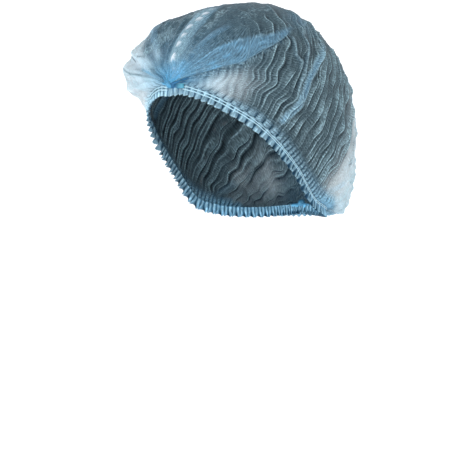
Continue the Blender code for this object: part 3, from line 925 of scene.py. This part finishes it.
def finePleats(grid):
    # fine pale pleats in the shut flap and at the left front
    wander = 0.35 * cloudNoise(grid.number * 0.8, grid.row * 14 + 5, 52)
    leftFront = (1 - smoothStep(grid.along, 0.26, 0.14)) * smoothStep(grid.across, 0.62, 0.12)
    fine = (0.5 + 0.5 * np.cos(2 * math.pi * (2 * grid.number + wander)))**3
    fine = fine * np.maximum(0.8 * grid.shut, leftFront)
    fine = fine * np.clip(0.6 + 0.8 * cloudNoise(grid.number, grid.across * 9 + 12, 53), 0, 1)
    return fine * smoothStep(grid.fromGather / 0.03)


def windowPleats(grid, covered):
    # soft pleats of the stretched window, which run as the crests do: lit and shaded sides
    wander = 4 * cloudNoise(grid.number * 0.5 + 20, grid.across * 4 + 60, 56)
    streak = np.cos(2 * math.pi * grid.number + wander)
    window = hump(grid.along, grid.across, windowPlace) * smoothStep(grid.fromGather / 0.03)
    window = window * np.clip(1 - 3 * np.maximum(grid.shut, covered), 0, 1)
    return window * smoothStep(0.25 - 0.7 * streak), window * smoothStep(0.35 + 0.7 * streak)


def layers(grid, folds):
    # how many layers lie on each other: at the gathers, in the shut flap, in long folds and near the rim
    rightShare = smoothStep(-grid.across, 0.25, 0.35)
    bunched = mix(1.25, 0.75, rightShare) * bell(grid.fromGather / mix(0.029, 0.036, rightShare), 1.3)
    patches = cloudNoise(grid.along * 34 + grid.across * 9, grid.across * 16 - grid.along * 20 + 28, 47)
    flap = grid.shut * (0.66 + 0.24 * patches) * mix(1.0, 0.72, smoothStep(grid.along, 0.08, 0.16))
    loose = [row[4] * hump(grid.along, grid.across, row) for row in layeredPlaces]
    return strongest([bunched, flap, folds, *loose, grid.nearRim * mix(0.35, 1.0, grid.backShare)])


def buildCrown():
    grid = layOutCrown()
    thin = np.maximum.reduce([row[4] * hump(grid.along, grid.across, row) for row in thinPlaces])
    thin = thin * (1 + 0.40 * cloudNoise(grid.along * 22 + 3, grid.across * 10 + 25, 54))
    thin = smoothStep(thin, 0.12, 0.80)
    crinkle, crestPale, crestShaded = crinkleForm(grid)
    pucker, toothPale, toothShaded = puckerForm(grid)
    weave, netting = weaveForm(grid)
    buckle, ridge, groove = wrinkleForm(grid, thin)
    folds = foldMarks(grid.along, grid.across, grid.point)
    fan = fanRelief(grid.along, grid.across)
    rimWave = crown["rimWave"] * np.cos(2 * math.pi * grid.share) * (1 - smoothStep(grid.fromRim / 0.004))
    relief = crinkle + pucker + fan + folds["relief"] + weave + buckle + grid.lift + rimWave
    leaning = 0.65 + 0.5 * cloudNoise(grid.number / 3 + 11, grid.row * 4 + 50, 44)
    leaning = crinkles["lean"] * crinkle * leaning
    place = grid.point + grid.outward * relief[..., None] + grid.forward * leaning[..., None]
    for edge, sign in ((0, -1), (-1, 1)):
        rim, rimOut, _ = rimFrame(grid.along[:, edge], sign)
        place[:, edge] = rim + rimOut * rimWave[:, edge][:, None]

    windowLit, windowShaded = windowPleats(grid, folds["dense"])
    # pale on the fan pleats near the knots, partly painted highlight, and painted shade between them
    fanShare = fan / gatherFan["height"]
    nearKnot = bell(grid.fromGather / np.where(grid.along < 0.5, 0.026, 0.050))
    fanShade = np.clip(0.9 - 3.2 * fanShare, 0, 1) * nearKnot * smoothStep((1 - np.abs(grid.across)) / 0.06)
    marks = {
        # pale marks, partly painted highlight: crest lines, lit slopes, the window's lit side and wrinkle
        # ridges
        "crest": strongest([
            crestPale, folds["line"], toothPale, paleTones["wrinkle"] * ridge,
            paleTones["window"] * windowLit, paleTones["fine"] * finePleats(grid),
            paleTones["netting"] * netting, paleTones["hem"] * grid.hem,
            paleTones["fan"] * nearKnot * fanShare,
        ], 0.95),
        "dense": layers(grid, folds["dense"]),
        "body": 1 - thin,
        "bag": grid.backShare * thin,
        # painted shade: behind crests, in tucks, grooves and slots, between fan pleats, on the window's
        # shaded side
        "foldShade": strongest([
            toothShaded, crestShaded * (1 - 0.5 * thin), folds["lee"], shadedTones["fan"] * fanShade,
            shadedTones["window"] * windowShaded, mix(*shadedTones["groove"], grid.backShare) * groove,
        ]),
        # painted glints on the glossy beads
        "glossAndGlint": np.clip(folds["glossAndGlint"], 0, 1),
    }
    piece = sheetPiece("crownSheet", grid.columns, crown["rows"], place, marks, nonwoven)
    area = sum(face.area for face in piece.data.polygons)
    print("crown sheet", grid.columns, "by", crown["rows"], "corners, area", round(area, 4))
    return piece


crownSheet = buildCrown()
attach(crownSheet, "root")
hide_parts("crown")

frill = {
    "first": 0.0,
    "last": 1.0,
    "segments": 20,
    "rows": 13,
    "depth": 0.0097,
    "band": 0.0052,
    "bandWave": crown["rimWave"],
    "wave": 0.0025,
    "curl": 0.16,
    "scallop": 0.0007,
    "slant": 0.16,
    "uvShare": 0.005,
    "seed": 3,
}


def buildFrill(name, side):
    # the cloth beyond the elastic, flat along the band and in loose teeth below it
    rng = np.random.default_rng(frill["seed"] + (side > 0))
    starts = crestStarts(frill["first"], frill["last"])
    columns = (len(starts) - 1) * frill["segments"] + 1
    crest = np.minimum(np.arange(columns) // frill["segments"], len(starts) - 2)
    share = np.arange(columns) / frill["segments"] - crest
    reach = np.linspace(0, 1, frill["rows"])
    depth = reach[None, :] * frill["depth"]
    loose = smoothStep((depth - frill["band"] * 0.75) / (frill["depth"] - frill["band"] * 0.75))
    size = rng.uniform(0.65, 1.15, len(starts))
    curl = frill["curl"] * rng.uniform(0.4, 1.25, len(starts))
    size = mix(size[crest], size[crest + 1], share)[:, None]
    curl = mix(curl[crest], curl[crest + 1], share)[:, None]
    share = share[:, None]
    curled = share + curl * loose * np.sin(2 * math.pi * share)
    along = mix(starts[crest][:, None], starts[crest + 1][:, None], curled)
    rim, rimOut, rimDown = rimFrame(along, side)
    calm = mix(0.5, 1.0, smoothStep(along, 0.03, 0.12))
    calm = calm * mix(1.0, 0.75, smoothStep(along, 0.40, 0.10))
    toothShare = toothPlace(share, starts, crest)
    wave = mix(frill["bandWave"] * np.cos(2 * math.pi * share),
               frill["wave"] * size * calm * np.cos(2 * math.pi * toothShare), loose)
    drop = depth - 0.0004 + frill["scallop"] * loose * np.cos(2 * math.pi * toothShare + 0.6)
    place = rim + rimDown * drop[..., None] + rimOut * wave[..., None]
    if side < 0:
        place = place[:, ::-1]
    # painted shade in the tucks between the teeth, and pale teeth, partly painted highlight, brightest near
    # one edge
    tuckWidth = mix(0.23, 0.28, smoothStep(along, 0.30, 0.30))
    tuck = bell((toothShare - 0.52 - frill["slant"] * (reach[None, :] - 0.5)) / tuckWidth, 4)
    early = mix(0.30, 1.0, smoothStep(along, 0.05, 0.13))
    pale = mix(0.48, 0.42, smoothStep(along / 0.22)) + 0.36 * bell((toothShare - 0.86) / 0.12)
    hem = smoothStep(reach[None, :], 0.86, 0.14)
    marks = {
        "crest": np.clip(pale + 0.25 * hem, 0, 0.9) * (1 - tuck),
        "dense": mix(0.60, 0.95, smoothStep(along, 0.50, 0.25)),
        "body": 0.9 + 0 * wave,
        "foldShade": np.clip(tuck * mix(0.75, 1.0, loose) * early, 0, 1),
        "glossAndGlint": 0 * wave,
    }
    if side < 0:
        marks = {mark: values[:, ::-1] for mark, values in marks.items()}
    return sheetPiece(name, columns, frill["rows"], place, marks, nonwoven, frill["uvShare"])


for side, word, node in ((1, "Left", "frill_left"), (-1, "Right", "frill_right")):
    piece = buildFrill("frill" + word, side)
    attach(piece, "root")
    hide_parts(node)
print("frills made")

strand = {
    "diameter": 0.0010,
    "spacing": 0.0027,
    "gap": 0.0009,
    "press": 0.00018,
    "sway": 0.00012,
    "thinner": 0.66,
    "closer": 0.56,
    "squash": 0.8,
    "points": 420,
    "sides": 10,
    "starts": {"Left": 0.0162, "Right": 0.003},
    "end": 0.003,
}


def buildStrand(name, side, level, startLength):
    # one strand of elastic: a ring of corners carried along the band, with the small dips of its weld spots;
    # strands draw thinner and closer towards the back
    along = np.linspace(startLength / rimLength, 1 - strand["end"] / rimLength, strand["points"])
    rim, rimOut, rimDown = rimFrame(along, side)
    starts = crestStarts(frill["first"], frill["last"])
    phase = np.interp(along, starts, np.arange(len(starts)))
    press = strand["press"] * np.cos(2 * math.pi * phase)
    sway = strand["sway"] * np.sin(math.pi * phase + 3 * level)
    behind = smoothStep(along, 0.14, 0.34)
    radius = strand["diameter"] / 2 * mix(1.0, strand["thinner"], behind)
    depth = strand["gap"] + radius + level * strand["spacing"] * mix(1.0, strand["closer"], behind)
    off = frill["bandWave"] + radius * strand["squash"] + 0.0002
    middle = rim + rimDown * (depth + sway)[:, None] + rimOut * (off + press)[:, None]
    turns = np.linspace(0, 2 * math.pi, strand["sides"] + 1)[None, :, None]
    ring = rimDown[:, None] * np.cos(turns) + rimOut[:, None] * strand["squash"] * np.sin(turns)
    place = middle[:, None] + ring * radius[:, None, None]
    if side < 0:
        place = place[:, ::-1]
    piece = sheetPiece(name, strand["points"], strand["sides"] + 1, place, {}, elastic)
    tube = bmesh.new()
    tube.from_mesh(piece.data)
    bmesh.ops.remove_doubles(tube, verts=tube.verts, dist=1e-6)
    bmesh.ops.holes_fill(tube, edges=[edge for edge in tube.edges if edge.is_boundary])
    bmesh.ops.recalc_face_normals(tube, faces=tube.faces)
    tube.to_mesh(piece.data)
    tube.free()
    return piece


for side, word in ((1, "Left"), (-1, "Right")):
    for level, place in enumerate(("Upper", "Lower")):
        piece = buildStrand("elastic" + word + place, side, level, strand["starts"][word])
        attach(piece, "root")
        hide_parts("elastic_" + word.lower() + "_" + place.lower())
print("elastic made")

# Gathers: rolls of folded cloth that leave a crimped knot and sink into the crown. Each has its path as along
# and across, then its width, its height and how shaded it is.
gather = {
    "rollColumns": 30,
    "rollRows": 13,
    "knotWidth": 0.0036,
    "knotHeight": 0.0034,
    "knotDepth": 0.0026,
    "knotCrimps": 11,
}
frontRolls = (
    (((0.003, 0.92), (0.014, 0.87), (0.032, 0.81), (0.062, 0.76)), 0.0072, 0.0040, 0.9),
    (((0.004, 0.62), (0.018, 0.55), (0.036, 0.54), (0.056, 0.56)), 0.0030, 0.0038, 0.0),
    (((0.004, 0.42), (0.018, 0.36), (0.036, 0.36), (0.054, 0.38)), 0.0028, 0.0032, 0.0),
    (((0.004, 0.18), (0.020, 0.20), (0.046, 0.21)), 0.0028, 0.0028, 0.0),
    (((0.004, -0.06), (0.020, -0.04), (0.042, -0.03)), 0.0026, 0.0024, 0.0),
    (((0.004, -0.30), (0.020, -0.26), (0.044, -0.25)), 0.0028, 0.0028, 0.0),
    (((0.004, -0.55), (0.020, -0.50), (0.044, -0.48)), 0.0028, 0.0026, 0.0),
    (((0.004, -0.80), (0.020, -0.76), (0.046, -0.72)), 0.0030, 0.0026, 0.0),
)
backRolls = tuple(
    (((0.996, 0.900 * share), (0.975, 0.880 * share), (0.952, 0.850 * share)), 0.0034, 0.0026, 0.0)
    for share in np.linspace(1, -1, 9)
)


def addRoll(sheet, foldShadeLayer, row):
    path, width, height, shaded = np.array(row[0]), *row[1:]
    columns, rows = gather["rollColumns"], gather["rollRows"]
    made = bmesh.ops.create_grid(sheet, x_segments=columns - 1, y_segments=rows - 1, size=0.5)
    for corner in made["verts"]:
        share, turn = corner.co.x + 0.5, corner.co.y * 2
        knot = share * (len(path) - 1)
        along = np.interp(knot, range(len(path)), path[:, 0])
        across = np.interp(knot, range(len(path)), path[:, 1])
        here, outward, forward = crownFrame(along, across)
        sideways = np.cross(outward, forward)
        bulge = math.cos(turn * math.pi / 2)**0.8
        rise = (1 - share**1.5) * min(1.0, 0.55 + share * 3)
        ripple = 1 + 0.10 * math.sin(share * 17 + across * 9) + 0.12 * math.cos(turn * 9)
        up = height * rise * bulge * ripple - 0.0005 * (1 - bulge) - 0.0007 * share**3
        aside = width / 2 * (0.75 + 0.35 * share) * (turn + 0.30 * bulge)
        corner.co = Vector(here + outward * up + sideways * aside)
        # painted shade on the roll's flanks where it turns under, and along a shaded roll
        corner[foldShadeLayer] = min(1.0, 0.05 + shaded + abs(turn)**3 * 0.95 * (1 - 0.6 * share))


def addKnot(sheet, foldShadeLayer, atFront):
    made = bmesh.ops.create_uvsphere(sheet, u_segments=28, v_segments=14, radius=1.0)
    rim, rimOut, rimDown = rimFrame(np.array(0.0 if atFront else 1.0), 1)
    for corner in made["verts"]:
        crimp = math.cos(gather["knotCrimps"] * math.atan2(corner.co.y, corner.co.x))
        wide = corner.co.x * gather["knotWidth"] * (1 + 0.16 * crimp)
        deep = corner.co.y * gather["knotDepth"] * (1 + 0.16 * crimp) + 0.0008
        high = corner.co.z * gather["knotHeight"] + 0.001
        # painted shade in the crimp valleys of the knot
        corner[foldShadeLayer] = 0.45 - 0.4 * crimp
        corner.co = Vector(rim + np.array((wide, 0, 0)) + rimOut * deep - rimDown * high)


def buildGather(name, atFront, rolls):
    sheet = bmesh.new()
    foldShadeLayer = sheet.verts.layers.float.new("foldShade")
    for row in rolls:
        addRoll(sheet, foldShadeLayer, row)
    addKnot(sheet, foldShadeLayer, atFront)
    bmesh.ops.recalc_face_normals(sheet, faces=sheet.faces)
    return addObject(name, takeMesh(name, sheet, welded))


for name, atFront, rolls, node in (
    ("gatherFront", True, frontRolls, "gather_front"),
    ("gatherBack", False, backRolls, "gather_back"),
):
    piece = buildGather(name, atFront, rolls)
    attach(piece, "root")
    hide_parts(node)
print("gathers made")

tab = {
    "first": 0.0074,
    "last": 0.0180,
    "width": 0.0038,
    "crown": 0.0008,
    "off": 0.0013,
    "wall": 0.0009,
    "pleats": 4,
    "columns": 41,
    "rows": 13,
}


def buildTab():
    # the welded end of the strip, pleated and folded over the band
    length = np.linspace(tab["first"], tab["last"], tab["columns"])
    share = np.linspace(0, 1, tab["rows"])[None, :]
    rim, rimOut, rimDown = rimFrame(length / rimLength, 1)
    run = np.linspace(0, 1, tab["columns"])[:, None]
    pleat = np.abs(np.sin(math.pi * tab["pleats"] * share + 0.5 * run))
    taper = np.minimum(1 - 0.3 * run**2, 0.55 + 1.4 * run)
    drop = -0.0004 + tab["width"] * share * taper
    off = tab["off"] + tab["crown"] * (np.sin(math.pi * share) + 0.45 * pleat) * taper
    place = rim[:, None] + rimDown[:, None] * drop[..., None] + rimOut[:, None] * off[..., None]
    # painted shade in the pleat valleys and where the tab leaves the knot
    shaded = 0.1 + 0.6 * (1 - pleat) + 0.9 * bell(run / 0.4)
    marks = {"foldShade": np.clip(shaded, 0, 1), "sheer": 0.85 + 0 * pleat}
    piece = sheetPiece("endTab", tab["columns"], tab["rows"], place, marks, welded)
    wall = piece.modifiers.new("wall", "SOLIDIFY")
    wall.thickness = tab["wall"]
    wall.offset = -1
    return piece


endTab = buildTab()
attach(endTab, "root")
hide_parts("end_tab")
print("end tab made")

studio = {
    "floorHeight": -0.42,
    "radius": 3.7,
    "wallHeight": 3.0,
    "bend": 1.2,
    "colour": (0.90, 0.91, 0.92, 1),
    "roughness": 0.9,
    "glow": 0.30,
    "daylight": (0.93, 0.96, 1.0, 1),
    "daylightStrength": 0.22,
}


def buildStage():
    # a pale floor that bends up into a wall all round the cap
    stage = bmesh.new()
    profile = [(0.0, 0.0)]
    for turn in np.linspace(0, math.pi / 2, 13):
        away = studio["radius"] - studio["bend"] * (1 - math.sin(turn))
        profile.append((away, studio["bend"] * (1 - math.cos(turn))))
    profile.append((studio["radius"], studio["wallHeight"]))
    corners = [stage.verts.new((away, 0, studio["floorHeight"] + up)) for away, up in profile]
    edges = [stage.edges.new(pair) for pair in zip(corners, corners[1:])]
    middle, upwards = (0, 0, 0), (0, 0, 1)
    bmesh.ops.spin(
        stage, geom=corners + edges, cent=middle, axis=upwards, angle=2 * math.pi, steps=72, use_merge=True
    )
    bmesh.ops.remove_doubles(stage, verts=stage.verts, dist=1e-5)
    bmesh.ops.recalc_face_normals(stage, faces=stage.faces)
    bmesh.ops.reverse_faces(stage, faces=stage.faces)
    material, tree, shader = startMaterial("pale floor")
    feed(tree, shader, {
        "Base Color": studio["colour"],
        "Roughness": studio["roughness"],
        "Emission Color": studio["colour"],
        "Emission Strength": studio["glow"],
    })
    floor = addObject("floor", takeMesh("floor", stage, material))


def aim(thing, target):
    direction = Vector(target) - thing.location
    thing.rotation_euler = direction.to_track_quat("-Z", "Y").to_euler()


# Soft lights: place, target, size in metres and power in watts.
lights = {
    "key": ((0.35, -2.5, 1.7), (0, 0, 0.03), 0.7, 31.0),
    "fill": ((2.8, -0.9, 0.9), (0, 0, 0.03), 1.8, 2.0),
    "top": ((0.6, 0.8, 2.6), (0, 0, 0.03), 1.4, 9.0),
    "back": ((-1.8, 2.0, 1.4), (0, 0, 0.03), 1.6, 5.0),
    "backdropLeft": ((-2.9, -0.6, 1.6), (-2.3, 2.3, -0.2), 2.2, 16.0),
    "backdropRight": ((0.6, 2.9, 1.6), (-2.3, 2.3, -0.2), 2.2, 16.0),
    "low": ((1.7, -2.1, -0.15), (0, 0, 0.0), 1.0, 4.0),
    "inside": ((0.0, -0.35, -0.38), (0, 0.02, 0.03), 0.3, 0.8),
    "side": ((1.9, 2.1, 0.3), (0, 0, 0.03), 1.2, 11.0),
}


def buildLights():
    for name, (place, target, size, power) in lights.items():
        data = bpy.data.lights.new(name, "AREA")
        data.shape = "DISK"
        data.size = size
        data.energy = power
        lamp = addObject(name, data)
        lamp.location = place
        aim(lamp, target)
    world = bpy.data.worlds.new("studio")
    world.use_nodes = True
    background = world.node_tree.nodes["Background"]
    feed(world.node_tree, background, {"Color": studio["daylight"], "Strength": studio["daylightStrength"]})
    bpy.context.scene.world = world


# The camera stands level at 45 degrees to the left of the cap's front. The picture is 470 by 470.
camera = {
    "distance": 2.5,
    "focalPixels": 2650.0,
    "picturePixels": 470.0,
    "sensorWidth": 36.0,
    "aside": -0.0021,
    "height": -0.0837,
    "azimuth": 45.0,
}


def buildCamera():
    turn = math.radians(camera["azimuth"])
    back = Vector((math.sin(turn), -math.cos(turn), 0))
    right = Vector((math.cos(turn), math.sin(turn), 0))
    data = bpy.data.cameras.new("camera")
    data.sensor_width = camera["sensorWidth"]
    data.lens = camera["focalPixels"] / camera["picturePixels"] * camera["sensorWidth"]
    eye = addObject("camera", data)
    eye.location = back * camera["distance"] + right * camera["aside"] + Vector((0, 0, camera["height"]))
    eye.rotation_euler = (-back).to_track_quat("-Z", "Y").to_euler()
    bpy.context.scene.camera = eye


buildStage()
buildLights()
buildCamera()
bpy.context.scene.view_settings.view_transform = "Standard"
print("studio made")
